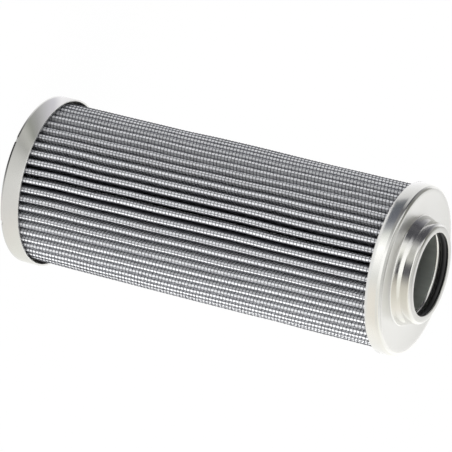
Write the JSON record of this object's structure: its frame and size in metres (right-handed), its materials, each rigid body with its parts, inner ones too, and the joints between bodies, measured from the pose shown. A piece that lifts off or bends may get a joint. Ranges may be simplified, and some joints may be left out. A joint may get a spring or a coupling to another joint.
{
  "type": "hydraulic filter element",
  "caption": "Pleated pressure filter cartridge: wire mesh pack on a perforated core between pressed steel caps, with an O-ring sealed collar.",
  "frame": {"origin": "centre of the closed end's flat face, which the element stands on", "axes": "+Z along the axis towards the open collar; X and Y are square to it, and X lies 4.4 degrees before the crest of a pleat at the closed end"},
  "size_m": [0.07, 0.07, 0.176],
  "materials": {
    "pressed_steel": "bright nickel-plated pressed sheet",
    "nitrile_rubber": "smooth moulded",
    "core_steel": "dull zinc-plated perforated sheet",
    "coated_wire": "dark epoxy-coated woven wire",
    "fleece": "white spun fibre",
    "glass_fibre": "white fibre mat",
    "adhesive": "cast epoxy"
  },
  "bodies": {
    "root": {"open_end_cap": "pressed_steel", "closed_end_cap": "pressed_steel", "seal_retainer": "pressed_steel", "o_ring": "nitrile_rubber", "core_tube": "core_steel", "outer_mesh": "coated_wire", "protective_fleece": "fleece", "filter_media": "glass_fibre", "inner_mesh": "coated_wire", "side_seam": "adhesive", "open_end_potting": "adhesive", "closed_end_potting": "adhesive"}
  },
  "joints": []
}
